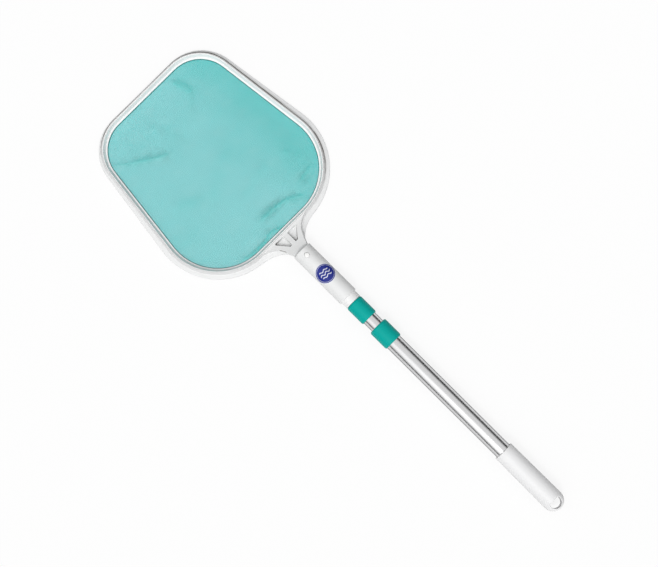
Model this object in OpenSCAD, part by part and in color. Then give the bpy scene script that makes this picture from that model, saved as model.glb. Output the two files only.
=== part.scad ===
// Leaf skimmer net on a three-section telescopic pole, lying flat on its head frame and grip.
// +Y runs along the pole towards the leading edge of the head, +Z is up, X = 0 is the middle plane.

/* [Head opening] */
// Length of the net opening along the pole
opening_l = 276; // [230:1:330]
// Width of the net opening at the handle end
opening_rear_w = 274; // [250:1:310]
// Width of the net opening at the leading edge
opening_front_w = 208; // [180:1:240]
// Corner radius of the net opening at the handle end
opening_rear_r = 82; // [65:1:90]
// Corner radius of the net opening at the leading edge
opening_front_r = 53; // [40:1:62]

/* [Head frame] */
// Height of the rim above the floor
rim_h = 12.4; // [10:0.1:16]
// Wall between the ring pocket and the skirt
rim_wall = 2.0; // [1.6:0.1:3]
// Thickness of the ledge that the net lies on
ledge_t = 2.4; // [1.6:0.1:4]
// How far the ledge reaches inside the net opening
ledge_inner_w = 0.8; // [0:0.1:3]
// Length of the skirt behind the net opening, at the handle end
skirt_rear = 16.5; // [14:0.5:24]
// Length of the skirt ahead of the net opening, at the leading edge
skirt_front = 11; // [10:0.5:16]
// Extra half width of the skirt at the handle end
skirt_rear_side = 21; // [16:0.5:26]
// Extra half width of the skirt at the leading edge
skirt_front_side = 10.8; // [10:0.1:16]
// Height of the skirt where it meets the rim
skirt_h = 4.6; // [4:0.1:9]
// Height of the skirt's outer edge
skirt_lip = 3; // [2.5:0.1:4]
// Wall thickness of the skirt
skirt_t = 1.8; // [1.4:0.1:2.6]
// Number of gusset ribs under each side of the skirt
gusset_count = 5; // [2:1:8]
// Thickness of a gusset rib
gusset_t = 1.6; // [1:0.1:3]

/* [Retaining ring] */
// Width of the ring that clamps the net
ring_w = 6.5; // [5:0.1:8]
// Width of the ring's rounded crest
ring_crest = 1.8; // [1:0.1:3]
// Width of the low flange beside the net
ring_flange_w = 2.1; // [1:0.1:2.6]
// Rise of that flange towards the ring's wall
ring_flange_rise = 0.6; // [0:0.1:1]
// How far the ring stands above the rim
ring_proud = 0.5; // [0:0.1:2]
// Gap between the ring and the rim wall
ring_gap = 0.7; // [0.3:0.1:1.2]
// How far the ring lies outside the edge of the net opening
ring_inset = 0.4; // [0.2:0.1:1]
// Height of the ring's upright inner face
ring_nose_h = 1.3; // [0.6:0.1:2]
// Rounding of the ring's crest
ring_soft_r = 0.55; // [0.3:0.05:0.8]
// How far the snap bead and the crest's outer edge stand out of the ring
ring_bead = 0.45; // [0.2:0.05:0.6]
// Height of the snap bead above the net
ring_bead_z = 3; // [2.5:0.1:4]
// Half height of the snap bead
ring_bead_h = 1; // [0.6:0.1:1.5]

/* [Net] */
// Thickness of the net
net_t = 0.6; // [0.4:0.1:1]
// Cells along and across the net
net_cells = 17; // [8:1:17]
// Width of one strand of the net
net_strand = 1.4; // [0.8:0.1:3]
// How far the net's hem is gripped under the ring
net_hem = 5.4; // [3:0.1:6]

/* [Neck and socket] */
// Length of the neck between the head and the socket
neck_l = 27.6; // [27:0.1:40]
// Width of the neck where it meets the socket
neck_w = 21.6; // [16:0.1:26]
// Angle between the neck's straight flanks and the pole
neck_flank = 23.4; // [18:0.1:30]
// Radius of the sweeps that spread the neck into the rim
neck_sweep_r = 33.6; // [28:0.1:36]
// Radius of the skirt's web beside the neck
web_r = 50; // [44:0.5:52]
// Half width of the web where it leaves the skirt's edge
web_half = 54; // [50:0.5:56]
// How far from the socket the web starts
web_start = 8; // [6:0.5:12]
// Height of the neck at the socket
neck_h = 22.5; // [18:0.5:26]
// Height of the neck's underside at the socket
neck_rise = 5.6; // [5.4:0.1:8]
// How far the neck runs into the socket's closed end
neck_lap = 1; // [0.5:0.1:2]
// Height of the neck at the rim
neck_low_h = 12.2; // [9:0.1:12.4]
// Bow of the neck's upper face, from 0 for a straight ramp
neck_bow = 0.35; // [0:0.05:0.6]
// Thickness of the rib between the two neck pockets
neck_rib = 7.2; // [5:0.1:10]
// Depth of the neck pockets
neck_pocket_deep = 3.5; // [1:0.1:5]
// How far the neck pockets reach back from the skirt's edge
neck_pocket_l = 10.5; // [8:0.5:12]
// Width of a neck pocket beside the rim
neck_pocket_w = 17; // [12:0.5:18]
// Width of a neck pocket at its narrow end
neck_pocket_tip = 4.6; // [4:0.1:6]
// Corner radius of the neck pockets
neck_pocket_r = 1.5; // [1:0.1:1.9]
// Wall between a neck pocket and the rim
neck_pocket_wall = 0.6; // [0.5:0.1:2]
// Length of the socket
socket_l = 93; // [80:1:120]
// Outside diameter of the socket
socket_d = 30.3; // [29.4:0.1:33]
// Bore of the socket
socket_bore_d = 26.1; // [26.1:0.1:27]
// Thickness of the socket's closed end
socket_end_t = 3; // [2:0.5:6]
// Chamfer at the socket's mouth
socket_chamfer = 1.2; // [0.5:0.1:1.8]
// Gap between the adapter and the socket's closed end
socket_end_gap = 0.5; // [0.3:0.1:2]

/* [Snap lock] */
// Distance from the socket's closed end to the snap button
snap_pos = 11; // [9:0.5:16]
// Diameter of the snap button
snap_d = 7.8; // [6:0.1:9]
// How far the button stands out of the socket
snap_proud = 0.9; // [0.5:0.1:2]
// Diameter of the button's inner flange
snap_flange_d = 10; // [9.5:0.1:11]
// Thickness of the button's inner flange
snap_flange_t = 1.2; // [0.8:0.1:2]
// Thickness of the spring clip's strip
clip_t = 0.6; // [0.4:0.1:0.8]
// Width of the spring clip's strip
clip_w = 8; // [5:0.5:9]

/* [Label] */
// Diameter of the round label as seen from above
label_d = 28.6; // [20:0.1:29]
// Thickness of the label
label_t = 0.25; // [0.2:0.05:0.5]
// Distance from the socket's mouth to the label's centre
label_pos = 45; // [30:1:55]

/* [Pole tubes] */
// Diameter of the outer tube
outer_d = 25; // [24.8:0.1:26]
// Diameter of the middle tube
middle_d = 22; // [21.6:0.1:22.2]
// Diameter of the inner tube
inner_d = 19; // [18.4:0.1:19.2]
// Wall of the tubes
tube_wall = 1.1; // [0.9:0.05:1.2]
// Visible length of the outer tube
outer_show = 216; // [180:1:600]
// Length of the middle tube that shows at rest
middle_show = 16; // [4:0.5:60]

/* [Collars and adapter] */
// Length of the lower collar
lower_collar_l = 32; // [28:0.5:45]
// Diameter of the lower collar
lower_collar_d = 29.6; // [28.6:0.1:32]
// Length of the upper collar
upper_collar_l = 31.5; // [28:0.5:45]
// Diameter of the upper collar
upper_collar_d = 26.7; // [25.6:0.1:29]
// Length of the chamfer on both ends of a collar
collar_chamfer = 1.8; // [0.5:0.1:2.2]
// Depth of that chamfer
collar_chamfer_t = 1.25; // [0.4:0.05:1.4]
// Length of the guide bore at a collar's open end
guide_l = 8; // [5:0.5:14]
// Length of the adapter that shows below the socket
adapter_show = 11; // [4:0.5:30]
// Diameter of the adapter
adapter_d = 25.9; // [25.2:0.1:26]
// Length of the hollow in the adapter that holds the spring clip
adapter_hollow_l = 30; // [26:0.5:40]
// Radius of that hollow
adapter_hollow_r = 8.9; // [8.6:0.1:9.1]

/* [Grip] */
// Length of the grip
grip_l = 112; // [95:1:150]
// Diameter of the grip at its mouth
grip_mouth_d = 30.3; // [29:0.1:33]
// Diameter of the grip at its round end
grip_end_d = 31.4; // [31.4:0.1:35]
// Rounding at the grip's mouth
grip_chamfer = 1; // [0.5:0.1:1.5]
// Radius of the hanging hole
hang_r = 8.8; // [6:0.1:10]
// Length of the hanging hole along the pole
hang_l = 12.6; // [9:0.1:14]
// Rim of the grip beyond the hanging hole
hang_rim = 3.2; // [2.4:0.1:5]
// Solid part between the hanging hole and the outer tube
hang_wall = 4; // [2:0.5:8]

/* [Twist locks] */
// Length of the plug inside a tube's end
plug_l = 22; // [16:0.5:30]
// Thickness of the plug's flange
plug_flange_t = 3; // [2:0.5:5]
// Diameter of the lock stud
stud_d = 7; // [6:0.1:8]
// Length of the expanding sleeve
sleeve_l = 22; // [18:0.5:28]
// Thickness of the sleeve's web round the stud
sleeve_web = 3; // [2:0.5:4]
// Wall of the sleeve at its mouth
sleeve_mouth_wall = 1.5; // [1.2:0.1:1.8]
// Wall of the sleeve at its web
sleeve_root_wall = 3; // [2.4:0.1:3.2]
// Width of the slits in the sleeve
slit_w = 2; // [1.4:0.1:2.6]
// Length of the cone nut
cone_l = 15; // [11:0.5:16]
// How far the cone nut draws back when the lock is released
cone_release = 1; // [0.5:0.1:1.5]
// Diameter of the lock screw's head
screw_head_d = 10; // [9:0.1:12]
// Thickness of the lock screw's head
screw_head_t = 2.4; // [1.6:0.1:4]
// Diameter of the lock screw's shank
screw_d = 3.8; // [3:0.1:4.2]
// Length of the lock screw's shank
screw_l = 12; // [8:0.5:16]

/* [Clearances] */
// Gap between pieces that are pressed or glued together
seat_gap = 0.05; // [0.02:0.01:0.1]
// Radial gap of a piece that slides or turns in another
slide_gap = 0.1; // [0.05:0.01:0.1]
// Gap left where two moving pieces stop against each other
stop_gap = 0.3; // [0.2:0.1:1]
// Space left behind a lock when its tube is pushed right in
nest_gap = 2.3; // [1:0.1:5]

/* [Hidden] */
$fn = 72;
// How far a cutting tool runs past the surface that it opens
cut = 1;

// Stations along the pole, counted from the grip's tip before the model is centred
grip_mouth_y = grip_l;
lower_collar_y = grip_mouth_y + outer_show;
lower_guide_y = lower_collar_y + lower_collar_l - guide_l;
upper_collar_y = lower_collar_y + lower_collar_l + middle_show;
upper_guide_y = upper_collar_y + upper_collar_l - guide_l;
adapter_y = upper_collar_y + upper_collar_l + stop_gap;
socket_y = adapter_y + adapter_show;
neck_y = socket_y + socket_l;
skirt_y = neck_y + neck_l;
opening_y = skirt_y + skirt_rear;
head_end_y = opening_y + opening_l + skirt_front;
pole_z = grip_end_d / 2;
hang_back_y = hang_rim + hang_l;
outer_tube_y = hang_back_y + hang_wall;
adapter_end_y = neck_y - socket_end_t - socket_end_gap;
inner_top_y = adapter_end_y - adapter_hollow_l;
snap_y = neck_y - snap_pos;

// Twist lock at a tube's inner end, counted from the tube's end towards the grip
sleeve_top = plug_flange_t + stop_gap;
sleeve_mouth = sleeve_top + sleeve_l;
stud_end = sleeve_mouth + cone_release + stop_gap;
lock_l = stud_end + screw_head_t;

// Tube bores and the ends of the tubes inside the pole
outer_bore_r = outer_d / 2 - tube_wall;
middle_bore_r = middle_d / 2 - tube_wall;
inner_bore_r = inner_d / 2 - tube_wall;
middle_tube_y = outer_tube_y + middle_show - stop_gap + lock_l + nest_gap;
inner_tube_y = middle_tube_y + plug_l + lock_l + nest_gap - stop_gap;

// Spring clip and button flange, as heights above the pole's axis
snap_flange_z = sqrt(adapter_hollow_r ^ 2 - (snap_flange_d / 2) ^ 2) - slide_gap;
clip_top = snap_flange_z - snap_flange_t - seat_gap;
clip_bottom = -sqrt(adapter_hollow_r ^ 2 - (clip_w / 2) ^ 2) + slide_gap;

// Head outline: each corner is [centre, radius, start angle, turn], anticlockwise from the rear right
side_angle = atan((opening_rear_w - opening_front_w) / 2 / opening_l);
opening_corners = corners(
    opening_y, opening_y + opening_l, opening_rear_w / 2, opening_front_w / 2,
    opening_rear_r, opening_front_r
);
skirt_rear_half = opening_rear_w / 2 + skirt_rear_side;
skirt_front_half = opening_front_w / 2 + skirt_front_side;
skirt_corners = corners(
    skirt_y, head_end_y, skirt_rear_half, skirt_front_half,
    opening_rear_r + (skirt_rear + skirt_rear_side) / 2,
    opening_front_r + (skirt_front + skirt_front_side) / 2
);
pocket_d = ring_w + ring_gap;
rim_d = pocket_d + rim_wall;
net_z = ledge_t;
ring_z = net_z + net_t;
ring_top = rim_h + ring_proud;
// Where the neck's upper face starts to climb from the rim
neck_foot_y = opening_y - rim_d - neck_pocket_wall / 2;
// Levels between the skirt's edge and the rim, and steps of the neck's curves
skirt_levels = 4;
neck_steps = 12;
// Steps round each corner of the opening, and its outline as [centre, radius, angle] of each step
corner_steps = 18;
stations = [
    for (c = opening_corners, k = [0 : corner_steps])
        [c[0], c[1], c[2] + c[3] * k / corner_steps]
];

function ray(a) = [cos(a), sin(a)];
function corners(y0, y1, half0, half1, r0, r1) =
    let (a = atan((half0 - half1) / (y1 - y0)),
        x0 = half0 - r0 * tan(a) - r0 / cos(a),
        x1 = half1 + r1 * tan(a) - r1 / cos(a))
    [
        [[x0, y0 + r0], r0, -90, 90 + a],
        [[x1, y1 - r1], r1, a, 90 - a],
        [[-x1, y1 - r1], r1, 90, 90 - a],
        [[-x0, y0 + r0], r0, 180 - a, 90 + a]
    ];
function grown(list, d) = [for (c = list) [c[0], c[1] + d, c[2], c[3]]];
function mixed(a, b, t) =
    [for (i = [0 : len(a) - 1]) [a[i][0] * (1 - t) + b[i][0] * t, a[i][1] * (1 - t) + b[i][1] * t]];

// Carries a profile, listed clockwise as outward distance and height, round the net opening
module sweep(profile) {
    m = len(profile);
    n = len(stations);
    polyhedron(
        points = [for (s = stations, p = profile) concat(s[0] + (s[1] + p[0]) * ray(s[2]), p[1])],
        faces = [
            for (i = [0 : n - 1], j = [0 : m - 1])
                let (a = i * m, b = (i + 1) % n * m, k = (j + 1) % m)
                each [[a + j, b + j, a + k], [b + j, b + k, a + k]]
        ]
    );
}

// A flat plate of the opening's outline, grown outwards by d
module plate(d, z0, z1) {
    translate([0, 0, z0])
        linear_extrude(height = z1 - z0)
        polygon([for (s = stations) s[0] + (s[1] + d) * ray(s[2])]);
}

// A smooth dome from the skirt's outline at the floor up to the rim's outline
module skirt_dome(inset, height, lip) {
    outside = grown(skirt_corners, -inset);
    inside = grown(opening_corners, rim_d - inset / 2);
    hull()
        for (i = [0 : skirt_levels]) {
            t = i / skirt_levels;
            z = lip + (height - lip) * sin(90 * t);
            level = mixed(outside, inside, 1 - cos(90 * t));
            for (c = level)
                translate([c[0][0], c[0][1], i == 0 ? -inset : 0])
                    cylinder(r = c[1], h = z + (i == 0 ? inset : 0));
        }
}

module skirt_gussets() {
    side = opening_corners[1];
    start = opening_corners[0][0] + opening_corners[0][1] * ray(side_angle);
    end = side[0] + side[1] * ray(side_angle);
    for (flip = [0, 1])
        mirror([flip, 0, 0])
        for (i = [1 : gusset_count]) {
            p = start + (end - start) * i / (gusset_count + 1);
            translate([p[0], p[1], 0])
                rotate(side_angle)
                translate([rim_d - rim_wall / 2, -gusset_t / 2, 0])
                cube([skirt_front_side, gusset_t, rim_h]);
        }
}

// Height of the neck's upper face, from the rim up to the socket
function neck_z(y) =
    let (t = min(1, max(0, (neck_foot_y - y) / (neck_foot_y - neck_y))))
    neck_low_h + (neck_h - neck_low_h) * (neck_bow * t * t + (1 - neck_bow) * t);

// Both sides of an outline that is given on the right, from the pole outwards
module both_sides(right) {
    polygon(concat(right, [for (k = [len(right) - 1 : -1 : 0]) [-right[k][0], right[k][1]]]));
}

// The neck from above: straight flanks from the socket, then a round sweep into the rim
module neck_outline() {
    top_y = opening_y - rim_d + rim_wall / 2;
    centre_y = top_y - neck_sweep_r;
    flank_y = centre_y + neck_sweep_r * sin(neck_flank);
    flank_x = neck_w / 2 + (flank_y - neck_y) * tan(neck_flank);
    centre_x = flank_x + neck_sweep_r * cos(neck_flank);
    turn = 90 - neck_flank;
    both_sides(concat(
        [[neck_w / 2, neck_y - neck_lap]],
        [
            for (k = [0 : neck_steps])
                [centre_x, centre_y] + neck_sweep_r * ray(90 + turn * (1 - k / neck_steps))
        ]
    ));
}

// The low web that carries the skirt's edge along the neck
module web_outline() {
    centre_y = skirt_y - web_r;
    turn = acos((neck_y + web_start - centre_y) / web_r);
    both_sides(concat(
        [
            for (k = [0 : neck_steps])
                [web_half, centre_y] + web_r * ray(90 + turn * (1 - k / neck_steps))
        ],
        [[web_half, opening_y - rim_d + rim_wall / 2]]
    ));
}

// A solid across the head with the given upper edge, over the neck's rising underside
module neck_slab(top) {
    rim_y = opening_y - rim_d + rim_wall;
    back_y = neck_y - neck_lap;
    rotate([90, 0, 90])
        translate([0, 0, -opening_rear_w / 2])
        linear_extrude(height = opening_rear_w)
        polygon(concat(top, [[rim_y, 0], [skirt_y, 0], [neck_y, neck_rise], [back_y, neck_rise]]));
}

module neck() {
    rim_y = opening_y - rim_d + rim_wall;
    intersection() {
        linear_extrude(height = neck_h + cut) neck_outline();
        neck_slab(concat(
            [[neck_y - neck_lap, neck_h]],
            [
                for (k = [0 : skirt_levels])
                    let (y = neck_y + (neck_foot_y - neck_y) * k / skirt_levels)
                    [y, neck_z(y)]
            ],
            [[rim_y, neck_low_h]]
        ));
    }
    intersection() {
        linear_extrude(height = neck_h) web_outline();
        neck_slab([[neck_y - neck_lap, neck_rise + skirt_lip], [skirt_y, skirt_h], [rim_y, skirt_h]]);
    }
}

module neck_pocket() {
    inner = neck_rib / 2 + neck_pocket_r;
    deep = skirt_y - neck_pocket_l;
    wide = opening_y - rim_d - neck_pocket_r - neck_pocket_wall;
    tip_x = inner + neck_pocket_tip - 2 * neck_pocket_r;
    wide_x = inner + neck_pocket_w - 2 * neck_pocket_r;
    hull()
        for (p = [[inner, deep], [tip_x, deep], [inner, wide], [wide_x, wide]])
            translate([p[0], p[1], neck_z(p[1]) - neck_pocket_deep])
                cylinder(r = neck_pocket_r, h = neck_h);
}

// A round bar or tube along the pole
module along(y0, y1, r0, r1) {
    translate([0, y0, pole_z])
        rotate([-90, 0, 0])
        cylinder(r1 = r0, r2 = r1, h = y1 - y0);
}

module pipe(y0, y1, outside_r, bore_r) {
    difference() {
        along(y0, y1, outside_r, outside_r);
        along(y0 - cut, y1 + cut, bore_r, bore_r);
    }
}

module socket_solid() {
    along(socket_y, socket_y + socket_chamfer, socket_d / 2 - socket_chamfer, socket_d / 2);
    along(socket_y + socket_chamfer, neck_y, socket_d / 2, socket_d / 2);
}

module head_frame() {
    color("white")
        difference() {
            union() {
                difference() {
                    skirt_dome(0, skirt_h, skirt_lip);
                    difference() {
                        skirt_dome(skirt_t, skirt_h - skirt_t, skirt_lip - skirt_t);
                        plate(rim_d, -cut, rim_h);
                        skirt_gussets();
                        linear_extrude(height = rim_h) web_outline();
                    }
                }
                plate(rim_d, 0, rim_h);
                neck();
                socket_solid();
            }
            plate(pocket_d, ledge_t, rim_h + cut);
            plate(-ledge_inner_w, -cut, ledge_t + cut);
            for (flip = [0, 1])
                mirror([flip, 0, 0])
                neck_pocket();
            along(socket_y - cut, neck_y - socket_end_t, socket_bore_d / 2, socket_bore_d / 2);
            translate([0, snap_y, pole_z])
                cylinder(r = snap_d / 2 + 2 * slide_gap, h = socket_d);
        }
}

module retaining_ring() {
    bead_z = ring_z + ring_bead_z;
    crest = ring_w - ring_crest;
    lip = ring_w + ring_bead;
    color("white")
        sweep([
            [ring_inset, ring_z],
            [ring_inset, ring_z + ring_nose_h],
            [ring_inset + ring_flange_w, ring_z + ring_nose_h + ring_flange_rise],
            [crest - ring_soft_r, ring_top - ring_soft_r],
            [crest, ring_top],
            [lip - ring_soft_r, ring_top],
            [lip, ring_top - ring_soft_r],
            [lip, ring_top - 3 * ring_soft_r],
            [ring_w, ring_top - 4 * ring_soft_r],
            [ring_w, bead_z + ring_bead_h],
            [lip, bead_z],
            [ring_w, bead_z - ring_bead_h],
            [ring_w, ring_z]
        ]);
}

module net_holes() {
    pitch = opening_rear_w / net_cells;
    rows = min(net_cells, floor(opening_l / pitch));
    hole = pitch - net_strand;
    for (i = [0 : net_cells - 1], j = [0 : rows])
        translate([
            (i - (net_cells - 1) / 2) * pitch - hole / 2,
            opening_y + (opening_l - rows * pitch) / 2 + (j - 0.5) * pitch + net_strand / 2,
            net_z - cut
        ])
            cube([hole, hole, net_t + 2 * cut]);
}

module net() {
    color("mediumturquoise")
        difference() {
            plate(net_hem, net_z, net_z + net_t);
            intersection() {
                plate(-net_strand, net_z - cut / 2, net_z + net_t + cut / 2);
                net_holes();
            }
        }
}

module label() {
    color("navy")
        intersection() {
            pipe(socket_y, socket_y + 2 * label_pos, socket_d / 2 + label_t, socket_d / 2);
            translate([0, socket_y + label_pos, pole_z])
                cylinder(r = label_d / 2, h = socket_d);
        }
}

module pole_adapter() {
    tube_r = inner_d / 2 + seat_gap;
    color("white")
        difference() {
            along(adapter_y, adapter_end_y, adapter_d / 2, adapter_d / 2);
            along(adapter_y - cut, inner_top_y, tube_r, tube_r);
            along(inner_top_y - cut, adapter_end_y + cut, adapter_hollow_r, adapter_hollow_r);
            translate([0, snap_y, pole_z])
                cylinder(r = snap_d / 2 + slide_gap, h = socket_d);
        }
}

module snap_button() {
    top = socket_d / 2 + snap_proud;
    round_h = 1.6;
    round_t = 1.1;
    color("whitesmoke")
        translate([0, snap_y, pole_z]) {
            translate([0, 0, snap_flange_z - snap_flange_t])
                cylinder(r = snap_flange_d / 2, h = snap_flange_t);
            translate([0, 0, snap_flange_z - snap_flange_t])
                cylinder(r = snap_d / 2, h = top - round_h - snap_flange_z + snap_flange_t);
            translate([0, 0, top - round_h])
                cylinder(r1 = snap_d / 2, r2 = snap_d / 2 - round_t, h = round_h);
        }
}

module snap_spring() {
    bend_r = (clip_top - clip_bottom) / 2;
    bend_gap = 1;
    leg_gap = 3;
    bend_y = inner_top_y + bend_gap + bend_r;
    leg_l = adapter_end_y - leg_gap - bend_y;
    mid_z = pole_z + (clip_top + clip_bottom) / 2;
    color("silver")
        translate([-clip_w / 2, bend_y, mid_z])
        rotate([90, 0, 90])
        linear_extrude(height = clip_w)
        difference() {
            union() {
                circle(r = bend_r);
                translate([0, -bend_r])
                    square([leg_l, 2 * bend_r]);
            }
            circle(r = bend_r - clip_t);
            translate([0, clip_t - bend_r])
                square([leg_l + cut, 2 * (bend_r - clip_t)]);
        }
}

module inner_tube() {
    color("gainsboro")
        pipe(inner_tube_y, inner_top_y, inner_d / 2, inner_bore_r);
}

module middle_tube() {
    color("gainsboro")
        pipe(middle_tube_y, upper_guide_y - seat_gap, middle_d / 2, middle_bore_r);
}

module outer_tube() {
    color("gainsboro")
        pipe(outer_tube_y, lower_guide_y - seat_gap, outer_d / 2, outer_bore_r);
}

// A collar grips the end of one tube and guides the next one through its open end
module collar(y, length, d, tube_d, guided_d) {
    tube_r = tube_d / 2 + seat_gap;
    guide_r = guided_d / 2 + slide_gap;
    r = d / 2;
    low = r - collar_chamfer_t;
    difference() {
        union() {
            along(y, y + collar_chamfer, low, r);
            along(y + collar_chamfer, y + length - collar_chamfer, r, r);
            along(y + length - collar_chamfer, y + length, r, low);
        }
        along(y - cut, y + length - guide_l, tube_r, tube_r);
        along(y + length - guide_l - cut, y + length + cut, guide_r, guide_r);
    }
}

module upper_collar() {
    color("lightseagreen")
        collar(upper_collar_y, upper_collar_l, upper_collar_d, middle_d, inner_d);
}

module lower_collar() {
    color("lightseagreen")
        collar(lower_collar_y, lower_collar_l, lower_collar_d, outer_d, middle_d);
}

// The fixed part of a twist lock: a plug glued into the tube's end, with the stud of the lock
module lock_plug(y, tube_r, bore_r) {
    difference() {
        union() {
            along(y, y + plug_l, bore_r - seat_gap, bore_r - seat_gap);
            along(y - plug_flange_t, y, tube_r, tube_r);
            along(y - stud_end, y - plug_flange_t, stud_d / 2, stud_d / 2);
        }
        along(
            y - stud_end - cut, y - stud_end + screw_l, screw_d / 2 + seat_gap,
            screw_d / 2 + seat_gap
        );
    }
}

// The sleeve that the cone nut spreads against the next tube
module lock_sleeve(y, tube_bore_r) {
    r = tube_bore_r - slide_gap;
    bore = stud_d / 2 + slide_gap;
    quarter = 90;
    difference() {
        along(y - sleeve_mouth, y - sleeve_top, r, r);
        along(y - sleeve_mouth - cut, y, bore, bore);
        along(
            y - sleeve_mouth, y - sleeve_top - sleeve_web, r - sleeve_mouth_wall,
            r - sleeve_root_wall
        );
        for (a = [0 : quarter : 3 * quarter])
            translate([0, y - sleeve_mouth, pole_z])
                rotate([0, a, 0])
                translate([-slit_w / 2, -cut, bore])
                cube([slit_w, sleeve_l - sleeve_web + cut, r]);
    }
}

module lock_cone(y, tube_bore_r) {
    r = tube_bore_r - slide_gap;
    taper = (sleeve_root_wall - sleeve_mouth_wall) / (sleeve_l - sleeve_web);
    mouth_r = r - sleeve_mouth_wall - slide_gap;
    bore = stud_d / 2 + slide_gap;
    key_gap = 2 * slide_gap;
    difference() {
        union() {
            along(y - sleeve_mouth, y - sleeve_mouth + cone_l, mouth_r, mouth_r - taper * cone_l);
            translate([-slit_w / 2 + key_gap, y - sleeve_mouth, pole_z + bore])
                cube([slit_w - 2 * key_gap, cone_l, r - bore - key_gap]);
        }
        along(y - sleeve_mouth - cut, y, bore, bore);
    }
}

module lock_screw(y) {
    bevel = 1;
    head_r = screw_head_d / 2;
    along(y - stud_end - screw_head_t, y - stud_end, head_r - bevel, head_r);
    along(y - stud_end, y - stud_end + screw_l - seat_gap, screw_d / 2, screw_d / 2);
}

module upper_lock_plug() {
    color("dimgray") lock_plug(inner_tube_y, inner_d / 2, inner_bore_r);
}

module upper_lock_cone() {
    color("gray") lock_cone(inner_tube_y, middle_bore_r);
}

module upper_lock_sleeve() {
    color("ivory") lock_sleeve(inner_tube_y, middle_bore_r);
}

module upper_lock_screw() {
    color("silver") lock_screw(inner_tube_y);
}

module lower_lock_plug() {
    color("dimgray") lock_plug(middle_tube_y, middle_d / 2, middle_bore_r);
}

module lower_lock_cone() {
    color("gray") lock_cone(middle_tube_y, outer_bore_r);
}

module lower_lock_sleeve() {
    color("ivory") lock_sleeve(middle_tube_y, outer_bore_r);
}

module lower_lock_screw() {
    color("silver") lock_screw(middle_tube_y);
}

module grip() {
    end_r = grip_end_d / 2;
    mouth_r = grip_mouth_d / 2;
    tube_r = outer_d / 2 + seat_gap;
    color("white")
        difference() {
            union() {
                translate([0, end_r, pole_z])
                    sphere(r = end_r);
                along(end_r, grip_mouth_y - grip_chamfer, end_r, mouth_r);
                along(grip_mouth_y - grip_chamfer, grip_mouth_y, mouth_r, mouth_r - grip_chamfer);
            }
            along(outer_tube_y, grip_mouth_y + cut, tube_r, tube_r);
            intersection() {
                translate([0, hang_rim + hang_r, -cut])
                    cylinder(r = hang_r, h = grip_end_d + 2 * cut);
                translate([-hang_r - cut, hang_rim - cut, -cut])
                    cube([2 * (hang_r + cut), hang_l + cut, grip_end_d + 2 * cut]);
            }
        }
}

module centred() {
    translate([0, -head_end_y / 2, 0]) children();
}

centred() head_frame();
centred() retaining_ring();
centred() net();
centred() label();
centred() pole_adapter();
centred() snap_button();
centred() snap_spring();
centred() inner_tube();
centred() upper_lock_plug();
centred() upper_lock_cone();
centred() upper_lock_sleeve();
centred() upper_lock_screw();
centred() upper_collar();
centred() middle_tube();
centred() lower_lock_plug();
centred() lower_lock_cone();
centred() lower_lock_sleeve();
centred() lower_lock_screw();
centred() lower_collar();
centred() outer_tube();
centred() grip();
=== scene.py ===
"""Leaf skimmer net on a three-section telescopic pole.

Sizes are in millimetres, counted along the pole from the grip's tip, as on the maker's drawing. Each mesh is
brought to metres, with its middle on the origin, as it is laid down.
"""
import math

import bmesh
import bpy
import numpy as np
from mathutils import Matrix, Vector


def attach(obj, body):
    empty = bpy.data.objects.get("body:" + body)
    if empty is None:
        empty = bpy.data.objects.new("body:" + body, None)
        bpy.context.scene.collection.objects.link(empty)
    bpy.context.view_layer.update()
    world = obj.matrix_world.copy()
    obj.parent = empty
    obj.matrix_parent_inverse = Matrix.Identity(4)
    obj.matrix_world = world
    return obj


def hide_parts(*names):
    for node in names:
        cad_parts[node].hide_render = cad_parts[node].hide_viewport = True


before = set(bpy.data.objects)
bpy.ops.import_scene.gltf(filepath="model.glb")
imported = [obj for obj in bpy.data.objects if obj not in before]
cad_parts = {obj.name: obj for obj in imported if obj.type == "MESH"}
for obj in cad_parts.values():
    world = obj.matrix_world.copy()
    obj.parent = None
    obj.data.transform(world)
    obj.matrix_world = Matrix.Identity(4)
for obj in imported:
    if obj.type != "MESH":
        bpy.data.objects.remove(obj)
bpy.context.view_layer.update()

# ---------------------------------------------------------------------------------------------------------
# HEAD FRAME
# One injection moulding in white polypropylene: the rim that holds the net, the lower skirt round it with
# gussets underneath, the flat neck with its two sink pockets, and the socket that takes the pole.
# ---------------------------------------------------------------------------------------------------------
MM = 0.001
SKIMMER_L = 842.9
POLE_Z = 15.7


def to_frame(points):
    """Drawing millimetres to the frame's metres."""
    return (np.asarray(points, float) - (0, SKIMMER_L / 2, 0)) * MM


def lay_mesh(name, points, faces):
    """A shaded mesh object from drawing points."""
    mesh = bpy.data.meshes.new(name)
    mesh.from_pydata(to_frame(points).tolist(), [], [list(map(int, f)) for f in faces])
    mesh.validate()
    made = bpy.data.objects.new(name, mesh)
    bpy.context.scene.collection.objects.link(made)
    finish_edges(made)
    return made


def finish_edges(piece, crease=35):
    """Faces outwards and shaded softly; edges sharper than crease degrees stay sharp."""
    work = bmesh.new()
    work.from_mesh(piece.data)
    bmesh.ops.remove_doubles(work, verts=work.verts, dist=1e-7)
    bmesh.ops.recalc_face_normals(work, faces=work.faces)
    for face in work.faces:
        face.smooth = True
    for edge in work.edges:
        edge.smooth = len(edge.link_faces) == 2 and edge.calc_face_angle(0) < math.radians(crease)
    work.to_mesh(piece.data)
    work.free()
    piece.data.update()


def fixed(piece):
    """Turns the evaluated piece into its plain mesh, with no modifier left on it."""
    bpy.context.view_layer.update()
    seen = piece.evaluated_get(bpy.context.evaluated_depsgraph_get())
    mesh = bpy.data.meshes.new_from_object(seen)
    piece.modifiers.clear()
    piece.data = mesh


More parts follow.
